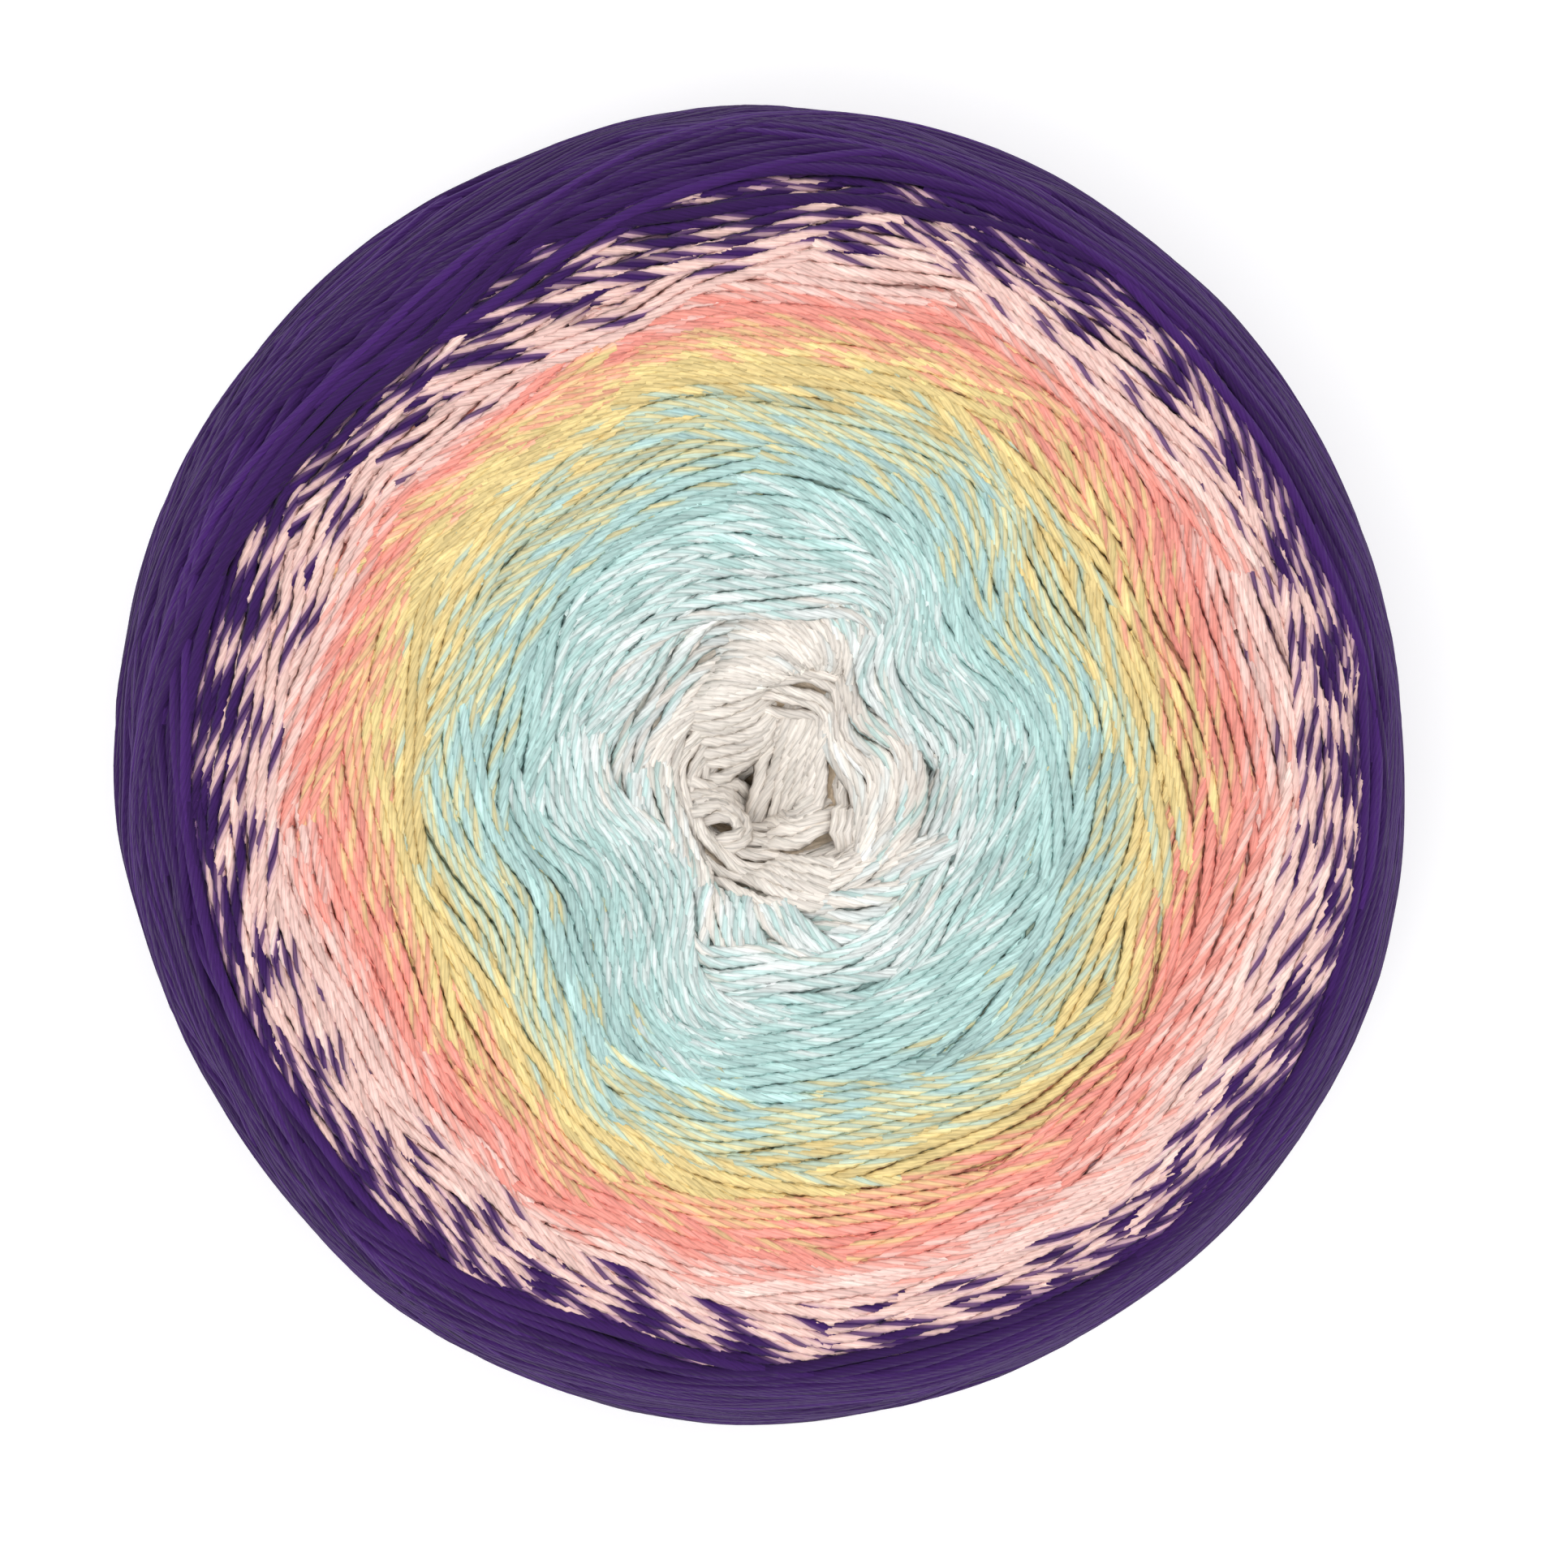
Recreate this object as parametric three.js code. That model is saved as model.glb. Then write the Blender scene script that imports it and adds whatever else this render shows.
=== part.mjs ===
// A yarn cake: one long gradient yarn, wound by machine into a flat round cake that lies on its lower face.
// Every turn leans, so it climbs the side wall, crosses over one shoulder and goes down again on the far side.
// The turns gather into crossing bundles, which stand up as a low braid all over the faces and the wall.
// The winder's spindle has been pulled out, so the loose turns at the middle have sunk in and closed the bore.
// Millimetres, +Z up, origin under the middle of the cake, on the surface that it lies on.
import * as THREE from "three";

// The driving sizes
const ACROSS = 155;
const TALL = 60;

// How far the wall reaches at each bearing, as a share of half the width
const OUTLINE = [
  { bearing: 0, reach: 1.0 },
  { bearing: 30, reach: 1.005 },
  { bearing: 60, reach: 1.016 },
  { bearing: 90, reach: 1.023 },
  { bearing: 120, reach: 1.006 },
  { bearing: 150, reach: 1.011 },
  { bearing: 180, reach: 1.0 },
  { bearing: 210, reach: 0.985 },
  { bearing: 240, reach: 1.02 },
  { bearing: 270, reach: 1.025 },
  { bearing: 300, reach: 1.025 },
  { bearing: 330, reach: 1.019 },
];

// The wound section, from the middle of the upper face over the wall to the middle of the lower face:
// out as a share of the reach, up as a share of the height, and lean, the share of the shift of the upper face
const SECTION = [
  { place: "floor of the sunk middle", out: 0, up: 0.765, lean: 1 },
  { place: "sunk middle", out: 0.06, up: 0.8, lean: 1 },
  { place: "loose turns", out: 0.13, up: 0.868, lean: 1 },
  { place: "loose turns, upper edge", out: 0.22, up: 0.915, lean: 1 },
  { place: "inner face", out: 0.36, up: 0.955, lean: 1 },
  { place: "face", out: 0.53, up: 0.98, lean: 1 },
  { place: "top of the face", out: 0.68, up: 0.982, lean: 0.9 },
  { place: "shoulder begins", out: 0.8, up: 0.962, lean: 0.8 },
  { place: "shoulder", out: 0.895, up: 0.9, lean: 0.65 },
  { place: "outer shoulder", out: 0.955, up: 0.79, lean: 0.4 },
  { place: "upper wall", out: 0.99, up: 0.63, lean: 0.15 },
  { place: "widest turn", out: 1, up: 0.46, lean: 0 },
  { place: "lower wall", out: 0.985, up: 0.29, lean: 0 },
  { place: "heel", out: 0.94, up: 0.14, lean: 0 },
  { place: "under the heel", out: 0.86, up: 0.045, lean: 0 },
  { place: "rest, outer edge", out: 0.74, up: 0, lean: 0 },
  { place: "rest, inner edge", out: 0.38, up: 0, lean: 0 },
  { place: "lower middle, edge", out: 0.2, up: 0.035, lean: 0 },
  { place: "lower middle", out: 0.09, up: 0.1, lean: 0 },
  { place: "lower middle, top", out: 0, up: 0.135, lean: 0 },
];

// The upper face sits a little off the middle of the outline, and the sunk middle a little off the face
const FACE_SHIFT = new THREE.Vector2(2.4, -1.6);
const SUNK_SHIFT = new THREE.Vector2(-2.4, -1.8);
const SUNK_OUT = 0.24;

// Places where the loose inner turns were pulled in (minus) or pushed out (plus) when the spindle came out
const GATHERS = [
  { bearing: 22, spread: 20, pull: -5.5, reach: 40 },
  { bearing: 54, spread: 14, pull: 3.5, reach: 34 },
  { bearing: 212, spread: 20, pull: -6.0, reach: 40 },
  { bearing: 252, spread: 16, pull: 6.5, reach: 42 },
  { bearing: 300, spread: 22, pull: 2.5, reach: 46 },
];

// Turns that were laid one after the other lie side by side as a bundle, about eight to one.
// On the upper face each bundle is an arch: it comes in, turns at its crest, and leaves under the next ring's.
const RING_FIRST = 14;
const RING_STEP = 8.2;
const RINGS = 7;
const ARCH_APART = 27;
const ARCH_LEAN = 0.34;
const ARCH_CREST = 7;
const ARCH_HALF_WIDE = 5.2;
const ARCH_RISE = 1.5;
const ARCH_DIVE = 0.2;

// On the wall each bundle is a whole leaning loop, which crosses the shoulder at its crest
const LOOPS = 13;
const LOOP_MIDDLE = 107;
const LOOP_CLIMB = 35;
const LOOP_HALF_WIDE = 7;
const LOOP_RISE = 1.5;
const LOOP_ORDER_STEP = 5;
const LOOP_ORDER_LIFT = 0.6;

// The ridge that the pulled turns make down one side of the sunk middle, and the hollow beside it
const FOLDS = [
  { name: "pulled ridge", fromBearing: 214, fromOut: 11, toBearing: 250, toOut: 33, wide: 4.2, rise: 1.9 },
  { name: "hollow by the ridge", fromBearing: 206, fromOut: 15, toBearing: 226, toOut: 22, wide: 3.2, rise: -2.2 },
  { name: "upper swell", fromBearing: 150, fromOut: 12, toBearing: 70, toOut: 13, wide: 5.5, rise: 1.6 },
  { name: "right gather", fromBearing: 40, fromOut: 12, toBearing: 2, toOut: 22, wide: 4, rise: 1.5 },
  { name: "right hollow", fromBearing: 32, fromOut: 19, toBearing: 20, toOut: 26, wide: 3, rise: -1.6 },
  { name: "lower cradle", fromBearing: 262, fromOut: 17, toBearing: 325, toOut: 15, wide: 4.5, rise: 1.2 },
];

// The grid: columns round the cake, close rows over the face and the wall, and wide ones below the heel
const COLUMNS = 126;
const UPPER_ROWS = 38;
const LOWER_ROWS = 9;
const UPPER_SHARE = 0.67;

const degrees = THREE.MathUtils.degToRad;
const easeBetween = (from, to, share) => THREE.MathUtils.lerp(from, to, THREE.MathUtils.smoothstep(share, 0, 1));

// The reach of the wall at a bearing in radians, eased from one row of the outline to the next
function wallReach(bearing) {
  const step = (2 * Math.PI) / OUTLINE.length;
  const turns = THREE.MathUtils.euclideanModulo(bearing, 2 * Math.PI) / step;
  const from = OUTLINE[Math.floor(turns) % OUTLINE.length];
  const to = OUTLINE[(Math.floor(turns) + 1) % OUTLINE.length];
  return (ACROSS / 2) * easeBetween(from.reach, to.reach, turns - Math.floor(turns));
}

// The smallest turn between two bearings, in radians
function bearingGap(a, b) {
  return Math.abs(THREE.MathUtils.euclideanModulo(a - b + Math.PI, 2 * Math.PI) - Math.PI);
}

// How far the turns at a bearing were pulled along the face, in millimetres
function pulled(bearing, out) {
  return GATHERS.reduce((sum, gather) => {
    const across = bearingGap(bearing, degrees(gather.bearing)) / degrees(gather.spread);
    return sum + gather.pull * Math.exp(-across * across - (out / gather.reach) ** 4);
  }, 0);
}

// A number between -0.5 and 0.5 that differs from one bundle to the next
const uneven = (a, b) => THREE.MathUtils.euclideanModulo(Math.sin(a * 12.9 + b * 78.2) * 43.7, 1) - 0.5;

// The arches of the upper face, ring by ring
const arches = [];
for (let ring = 0; ring < RINGS; ring += 1) {
  const along = RING_FIRST + ring * RING_STEP;
  const count = Math.round((2 * Math.PI * along) / ARCH_APART);
  for (let arch = 0; arch < count; arch += 1) {
    const crest = (2 * Math.PI * (arch + ring * 0.37 + 0.5 * uneven(ring, arch))) / count;
    arches.push({ along: along + 2.5 * uneven(arch, ring), crest });
  }
}

// The height of one bundle, from how far off its middle line a place lies
const bundleHeight = (off, halfWide, rise) => (Math.abs(off) < halfWide ? rise * (1 - (off / halfWide) ** 2) : 0);

// The height of the bundles at a bearing and a place along the section: the highest one shows
function braid(bearing, along) {
  let highest = 0;
  for (const arch of arches) {
    const aside = arch.along * bearingGap(bearing, arch.crest);
    const fallen = ARCH_LEAN * (Math.hypot(aside, ARCH_CREST) - ARCH_CREST);
    const height = bundleHeight(along - arch.along - fallen, ARCH_HALF_WIDE, ARCH_RISE);
    highest = Math.max(highest, height - ARCH_DIVE * fallen);
  }
  for (let loop = 0; loop < LOOPS; loop += 1) {
    const crest = (2 * Math.PI * (loop + 0.4 * uneven(loop, 3))) / LOOPS;
    const line = LOOP_MIDDLE - LOOP_CLIMB * Math.cos(bearing - crest);
    const order = ((loop * LOOP_ORDER_STEP) % LOOPS) / LOOPS;
    const height = bundleHeight(along - line, LOOP_HALF_WIDE, LOOP_RISE);
    highest = Math.max(highest, height > 0 ? height + LOOP_ORDER_LIFT * order - LOOP_ORDER_LIFT / 2 : 0);
  }
  return highest;
}

// A point of the plan at a bearing in degrees and a distance from the middle
const planPoint = (bearing, out) => new THREE.Vector2(Math.cos(degrees(bearing)), Math.sin(degrees(bearing))).multiplyScalar(out);

// What the folds add to the height of the face at a point of the plan
function foldRise(point) {
  return FOLDS.reduce((sum, fold) => {
    const from = planPoint(fold.fromBearing, fold.fromOut);
    const run = planPoint(fold.toBearing, fold.toOut).sub(from);
    const share = THREE.MathUtils.clamp(point.clone().sub(from).dot(run) / run.lengthSq(), 0, 1);
    const off = point.distanceTo(from.add(run.multiplyScalar(share))) / fold.wide;
    return sum + fold.rise * Math.exp(-off * off);
  }, 0);
}

// The section as a smooth curve in millimetres, with the lean as its third value
const section = new THREE.CatmullRomCurve3(
  SECTION.map(({ out, up, lean }) => new THREE.Vector3((out * ACROSS) / 2, up * TALL, lean)),
  false,
  "centripetal",
);

// One point of the cake's surface: its place along the section, from 0 to 1, and its bearing
function surfacePoint(share, bearing) {
  const at = section.getPointAt(share);
  const way = section.getTangentAt(share);
  const outwards = new THREE.Vector2(-way.y, way.x).normalize();
  const out = (at.x / (ACROSS / 2)) * wallReach(bearing);
  const upper = THREE.MathUtils.smoothstep(at.y, TALL * 0.55, TALL * 0.8);
  const resting = 1 - THREE.MathUtils.smoothstep(at.y, 0.2, TALL * 0.1);
  const middle = THREE.MathUtils.smoothstep(at.x, 3, 14);

  const along = share * section.getLength() - upper * pulled(bearing, out);
  const bundle = middle * (1 - resting) * (braid(bearing, along) - ARCH_RISE / 2);

  const sunk = 1 - THREE.MathUtils.smoothstep(at.x / (ACROSS / 2), 0, SUNK_OUT);
  const centre = FACE_SHIFT.clone().multiplyScalar(at.z).addScaledVector(SUNK_SHIFT, upper * sunk);
  const plan = planPoint(THREE.MathUtils.radToDeg(bearing), out + bundle * outwards.x).add(centre);
  const fold = upper * foldRise(plan.clone().sub(FACE_SHIFT));
  const height = Math.max(0, at.y + bundle * outwards.y + fold);
  return new THREE.Vector3(plan.x, plan.y, height);
}

// The share of the section at which a row of the grid lies
function rowShare(row) {
  if (row <= UPPER_ROWS) return (UPPER_SHARE * row) / UPPER_ROWS;
  return UPPER_SHARE + ((1 - UPPER_SHARE) * (row - UPPER_ROWS)) / LOWER_ROWS;
}

// The whole skin as a grid of rings between two poles, closed and facing out
function woundSkin() {
  const rows = UPPER_ROWS + LOWER_ROWS;
  const points = [surfacePoint(0, 0)];
  for (let row = 1; row < rows; row += 1) {
    for (let column = 0; column < COLUMNS; column += 1) {
      points.push(surfacePoint(rowShare(row), (2 * Math.PI * column) / COLUMNS));
    }
  }
  points.push(surfacePoint(1, 0));

  const last = points.length - 1;
  const pointAt = (row, column) => 1 + (row - 1) * COLUMNS + (column % COLUMNS);
  const faces = [];
  for (let column = 0; column < COLUMNS; column += 1) {
    faces.push(0, pointAt(1, column), pointAt(1, column + 1));
    for (let row = 1; row < rows - 1; row += 1) {
      faces.push(pointAt(row, column), pointAt(row + 1, column), pointAt(row + 1, column + 1));
      faces.push(pointAt(row, column), pointAt(row + 1, column + 1), pointAt(row, column + 1));
    }
    faces.push(pointAt(rows - 1, column), last, pointAt(rows - 1, column + 1));
  }

  const skin = new THREE.BufferGeometry().setFromPoints(points);
  skin.setIndex(faces);
  return skin;
}

// The skin with its box centred over the origin and its rest at height 0
function centredSkin() {
  const skin = woundSkin();
  skin.computeBoundingBox();
  const middle = skin.boundingBox.getCenter(new THREE.Vector3());
  skin.translate(-middle.x, -middle.y, -skin.boundingBox.min.z);
  skin.computeVertexNormals();
  return skin;
}

const purpleYarn = new THREE.MeshStandardMaterial({ color: 0x43296b, roughness: 0.92, metalness: 0 });

const woundCake = new THREE.Mesh(centredSkin(), purpleYarn);
woundCake.name = "wound_cake";

const cake = new THREE.Group();
cake.add(woundCake);

export default cake;
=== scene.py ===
# %% [markdown]
# # A wound yarn cake
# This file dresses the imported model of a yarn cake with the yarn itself. The cake is one long yarn
# of four plies, wound by machine into a flat round cake. The yarn changes colour one thread at a
# time, so the colours run in rings: cream, mint, yellow, coral, pale pink, purple. Lengths are in
# millimetres while the yarn is laid, and become metres when the meshes are made.

import math

import bpy
import numpy as np
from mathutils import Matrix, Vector
from mathutils.bvhtree import BVHTree


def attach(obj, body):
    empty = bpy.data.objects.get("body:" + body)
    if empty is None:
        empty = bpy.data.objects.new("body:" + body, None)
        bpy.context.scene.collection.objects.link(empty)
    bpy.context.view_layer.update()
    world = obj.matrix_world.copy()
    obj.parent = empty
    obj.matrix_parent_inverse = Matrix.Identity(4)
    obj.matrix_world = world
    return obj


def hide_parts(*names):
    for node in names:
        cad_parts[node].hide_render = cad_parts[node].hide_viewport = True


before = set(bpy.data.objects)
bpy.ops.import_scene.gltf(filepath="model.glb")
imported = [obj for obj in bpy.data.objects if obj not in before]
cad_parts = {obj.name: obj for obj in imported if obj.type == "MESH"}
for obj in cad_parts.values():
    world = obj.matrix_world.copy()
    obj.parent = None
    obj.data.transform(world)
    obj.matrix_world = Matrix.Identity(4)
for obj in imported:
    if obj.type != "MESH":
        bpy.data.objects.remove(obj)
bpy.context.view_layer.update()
cake_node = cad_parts["wound_cake"]
MM = 0.001
FULL_TURN = 2 * math.pi

# %% [markdown]
# ## The camera
# The photograph looks straight down, from far enough away that the face looks only a little
# larger than the wall. The widest turn gives the scale of the picture. The upper face is nearer
# and looks larger, which gives the distance: a long lens 0.89 m above the table shows the same
# sizes of both.

# %% Place the camera
CAMERA_HEIGHT = 888
WIDEST_TURN_HEIGHT = 28
FRAME_WIDTH_AT_WIDEST_TURN = 190.2
SENSOR_WIDTH = 36
CAMERA_ASIDE = (2.95, -2.46)

camera_data = bpy.data.cameras.new("camera")
camera_data.sensor_width = SENSOR_WIDTH
camera_data.lens = SENSOR_WIDTH * (CAMERA_HEIGHT - WIDEST_TURN_HEIGHT) / FRAME_WIDTH_AT_WIDEST_TURN
camera_data.clip_end = 10
camera = bpy.data.objects.new("camera", camera_data)
camera.location = Vector((CAMERA_ASIDE[0], CAMERA_ASIDE[1], CAMERA_HEIGHT)) * MM
bpy.context.scene.collection.objects.link(camera)
bpy.context.scene.camera = camera
print("Lens:", round(camera_data.lens), "mm")

# %% [markdown]
# ## The form under the yarn
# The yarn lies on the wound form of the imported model. A strand is easiest to steer on a flat map,
# so the form is unrolled: a point of the map lies as far from the map's middle as the yarn travels
# along the section from the middle of the face. The map of the upper side runs over the shoulder
# and down the wall. A second map starts at the middle of the underside. Rays cast onto the packed
# model find the points of both.

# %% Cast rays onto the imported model
BEARINGS = 240
RAY_STEP = 1.25
SPINE_OUT = 50
SPINE_HEIGHT = 28
FAR = 200


def model_tree(node):
    """The node's faces as a tree for ray casts, in the frame of the scene."""
    mesh = node.data
    points = [node.matrix_world @ vertex.co for vertex in mesh.vertices]
    return BVHTree.FromPolygons(points, [tuple(face.vertices) for face in mesh.polygons])


def round_turn(count):
    """Angles spread evenly round a full turn."""
    return np.arange(count) * FULL_TURN / count


def section_rays(bearing, upper):
    """Start and direction of each ray at a bearing: in steps outwards on the face, then round the wall."""
    outwards = np.array((math.cos(bearing), math.sin(bearing), 0))
    up = np.array((0, 0, 1 if upper else -1))
    for out in np.arange(0, SPINE_OUT, RAY_STEP):
        yield outwards * out + up * FAR, -up
    middle = outwards * SPINE_OUT + np.array((0, 0, SPINE_HEIGHT))
    for turn in np.radians(np.arange(0, 180, RAY_STEP)):
        way = up * math.cos(turn) + outwards * math.sin(turn)
        yield middle + way * FAR, -way


def section_line(tree, bearing, upper, reach):
    """Points of the form every millimetre of yarn travel, in millimetres."""
    found = []
    for start, way in section_rays(bearing, upper):
        hit = tree.ray_cast(Vector(start * MM), Vector(way))[0]
        if hit is not None:
            found.append(np.array(hit) / MM)
    found = np.array(found)
    travel = np.concatenate(([0], np.cumsum(np.linalg.norm(np.diff(found, axis=0), axis=1))))
    wanted = np.arange(reach + 1)
    return np.stack([np.interp(wanted, travel, found[:, axis]) for axis in range(3)], axis=1)


# %% Unroll the form into two maps
MAP_REACH = 160
MAP_BLUR = 0.9


def polar_table(tree, upper):
    """The form by bearing and travel."""
    return np.array([section_line(tree, bearing, upper, MAP_REACH) for bearing in round_turn(BEARINGS)])


def blend_cells(table, row, column, wrap):
    """Values between the cells of a table, with its rows joined end to end if wrap is true."""
    low_row = np.floor(row).astype(int)
    low_column = np.clip(np.floor(column).astype(int), 0, table.shape[1] - 2)
    part_row = (row - low_row)[..., None]
    part_column = np.clip(column - low_column, 0, 1)[..., None]
    rows = table.shape[0]
    first = low_row % rows if wrap else np.clip(low_row, 0, rows - 2)
    second = (low_row + 1) % rows if wrap else first + 1
    left = table[first, low_column] * (1 - part_row) + table[second, low_column] * part_row
    right = table[first, low_column + 1] * (1 - part_row) + table[second, low_column + 1] * part_row
    return left * (1 - part_column) + right * part_column


def bell_curve(width, span):
    """Weights of a bell curve that reaches span steps to each side."""
    weights = np.exp(-0.5 * (np.arange(-span, span + 1) / width) ** 2)
    return weights / weights.sum()


def blurred(table, width):
    """The table softened along both of its sides, by a bell curve that is width cells wide."""
    span = int(3 * width) + 1
    bell = bell_curve(width, span)
    for axis in (0, 1):
        edges = [(span, span) if side == axis else (0, 0) for side in range(table.ndim)]
        padded = np.pad(table, edges, mode="edge")
        cells = np.arange(table.shape[axis])
        table = sum(weight * np.take(padded, cells + k, axis) for k, weight in enumerate(bell))
    return table


def unit(vectors):
    """The vectors with a length of one."""
    return vectors / np.maximum(np.linalg.norm(vectors, axis=-1, keepdims=True), 1e-9)


def flat_map(tree, upper):
    """The form on a square map with a cell per millimetre: its points and its outward normals."""
    side = np.arange(-MAP_REACH, MAP_REACH + 1, dtype=float)
    x, y = np.meshgrid(side, side, indexing="ij")
    travel = np.minimum(np.hypot(x, y), MAP_REACH - 1)
    turn = np.arctan2(y, x) / FULL_TURN * BEARINGS
    points = blurred(blend_cells(polar_table(tree, upper), turn, travel, True), MAP_BLUR)
    normals = np.cross(np.gradient(points, axis=0), np.gradient(points, axis=1))
    normals = unit(normals * (1 if upper else -1))
    return {"points": points, "cells": np.concatenate((points, normals), axis=2), "upper": upper}


tree = model_tree(cake_node)
upper_map = flat_map(tree, True)
under_map = flat_map(tree, False)
print("Unrolled the form:", upper_map["points"].shape, "cells a side")


def on_form(form, x, y):
    """Points and normals of the form at places of its map."""
    both = blend_cells(form["cells"], np.clip(x + MAP_REACH, 0, 2 * MAP_REACH - 1), y + MAP_REACH, False)
    return both[..., :3], unit(both[..., 3:])


# %% [markdown]
# ## The yarn and its colours
# The yarn is about 1.2 mm thick, pressed wider than high by its neighbours. It has four plies of two
# threads each, twisted once round in 12.5 mm. At the spinner one thread after the other is tied to
# the next colour, until all eight have changed. A stage counts these changes: 0 is all cream, 8 all
# mint, 16 all yellow, 24 all coral, 32 all pale pink and 40 all purple. Early on, white threads take
# the place of cream ones. Usually the opposite thread changes next; in the last change they go side
# by side, or two plies first. The known stages are where colours begin in the photograph, and
# between them the stage grows with the area of the face, as the length of yarn does. The underside
# isn't seen; there the colours are taken to lie further in.

# %% Give each stage its threads
YARN_THICK = 1.22
YARN_WIDER = 1.36
TWIST_PITCH = 12.5
PLIES = 4
DYES = {
    "cream": "eae2d9",
    "white": "e6ecea",
    "mint": "b7d7d3",
    "yellow": "ead294",
    "coral": "f39d90",
    "pale pink": "f5cec5",
    "purple": "3a1e58",
}
CREAM, WHITE, PURPLE = (list(DYES).index(name) for name in ("cream", "white", "purple"))
OPPOSITE_NEXT = [0, 4, 2, 6, 1, 5, 3, 7]
TWO_PLIES_FIRST = [0, 1, 4, 5, 2, 6, 3, 7]
THREADS = len(OPPOSITE_NEXT)
SIDE_BY_SIDE = range(THREADS)
SIDE_BY_SIDE_SHARE = 0.4
CHANGES = 5
LAST_STAGE = CHANGES * THREADS
LAST_CHANGE = LAST_STAGE - THREADS
CREAM_ENDS = 3.5
STAGE_SPREAD = 1.2
KNOWN_STAGES = [0, 8, 16, 24, 32, 38.4, 40]
KNOWN_OUT = np.array([14.2, 32.6, 48.8, 56.8, 61.2, 70.2, 77.0])
UNDER_SPREAD = 1.33

rng = np.random.default_rng(41)


def stage_at(out, upper=True):
    """The stage of the yarn at a distance from the middle of a face."""
    out = out if upper else out * UNDER_SPREAD
    return float(np.interp(out**2, KNOWN_OUT**2, KNOWN_STAGES))


def threads_of(stage, spread=STAGE_SPREAD):
    """The dyes of the threads at a stage, in their order round the yarn. spread lets turns beside differ."""
    dyes = [WHITE if rng.uniform(0, CREAM_ENDS) < stage else CREAM for thread in range(THREADS)]
    sooner = rng.uniform(-spread, spread) * min(stage / CREAM_ENDS, 1)
    stage = stage + sooner if stage < LAST_STAGE else stage
    last_order = SIDE_BY_SIDE if rng.uniform(0, 1) < SIDE_BY_SIDE_SHARE else TWO_PLIES_FIRST
    order = last_order if stage > LAST_CHANGE else OPPOSITE_NEXT
    for turn_to_change, thread in enumerate(order):
        change = int(min(max((stage + THREADS - 1 - turn_to_change) // THREADS, 0), CHANGES))
        dyes[thread] = change + WHITE if change else dyes[thread]
    return dyes


for out in (10, 25, 40, 48, 55, 62, 68, 75):
    names = [list(DYES)[dye] for dye in threads_of(stage_at(out), 0)]
    print("Threads", out, "mm from the middle:", ", ".join(names))

# %% [markdown]
# ## How the turns lie
# Each turn leans: it climbs the wall, crosses the shoulder, comes in over the face to its crest,
# and goes out and down again. The next turns are laid over its two ends, so only the arch at its
# crest shows. Turns that follow each other closely lie side by side as a bundle. Rings of such
# arches make the face and whole leaning loops the wall, and plain circles lie under all of them, so
# no gap is empty. A cake is never wound quite evenly, so the rings are a little out of round, and
# the colours wander a few millimetres in and out.

# %% Say how uneven the winding is
FACE_SHIFT = np.array((2.4, -1.6))
FACE_SHIFT_FADES = (55, 95)
SUNK_SHIFT = np.array((-2.4, -1.8))
SUNK_REACH = 19
INNER_SHIFT = 2.2
INNER_BEARING = 285
INNER_BAND = ((14, 34), (48, 66))
OUTER_SHIFT = 2.6
OUTER_BEARING = 315
OUTER_BAND = ((44, 62), (78, 105))
DIP_SHIFT = 3.2
DIP_BEARING = 122
DIP_WIDE = 0.44
EDGE_SHIFT = 0.8
EDGE_SHIFT_BACK = 2.6
BACK_BEARING = 95
EDGE_BAND = ((62, 74), (80, 110))
# Each gather has its bearing and spread in degrees, its pull, and how far out it reaches.
GATHERS = [(12, 18, 1.4, 40), (37, 15, -5.0, 46), (62, 14, 1.5, 42), (211, 17, -5.5, 44), (247, 17, 4.5, 44)]
GATHERS_RISE = (10, 26)
# Each colour shift has its bearing and spread in degrees, its distance out and width, and how far it shifts.
COLOUR_SHIFTS = [
    (200, 20, 37, 7, 3.8),
    (285, 24, 41, 7, 3.2),
    (333, 20, 40, 6, 2.4),
    (288, 14, 53, 5, -2.6),
    (340, 32, 51, 6, -4.4),
    (127, 32, 58, 5, 6.4),
    (352, 25, 61, 6, -2.2),
    (75, 16, 58, 5, 1.8),
]


def uneven(a, b):
    """A number between -0.5 and 0.5 that differs from one bundle to the next, the same as in the solid."""
    return (math.sin(a * 12.9 + b * 78.2) * 43.7) % 1 - 0.5


def ease(value, low, high):
    """0 below low, 1 above high, and a smooth rise between them."""
    share = np.clip((value - low) / (high - low), 0, 1)
    return share * share * (3 - 2 * share)


def in_band(amount, out, band):
    """The amount inside a band of the face, fading out over its inner and its outer edge."""
    inner_edge, outer_edge = band
    return amount * ease(out, *inner_edge) * (1 - ease(out, *outer_edge))


def angle_from(degrees, bearing):
    """The angle from a bearing in degrees to one in radians, the short way round."""
    return (bearing - math.radians(degrees) + math.pi) % FULL_TURN - math.pi


def pulled(bearing, out):
    """How far the loose turns at a bearing were pulled outwards when the spindle came out."""
    total = np.zeros_like(bearing)
    for middle, spread, pull, reach in GATHERS:
        gap = angle_from(middle, bearing)
        total += pull * np.exp(-((gap / math.radians(spread)) ** 2) - (out / reach) ** 4)
    return total * ease(out, *GATHERS_RISE)


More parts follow.
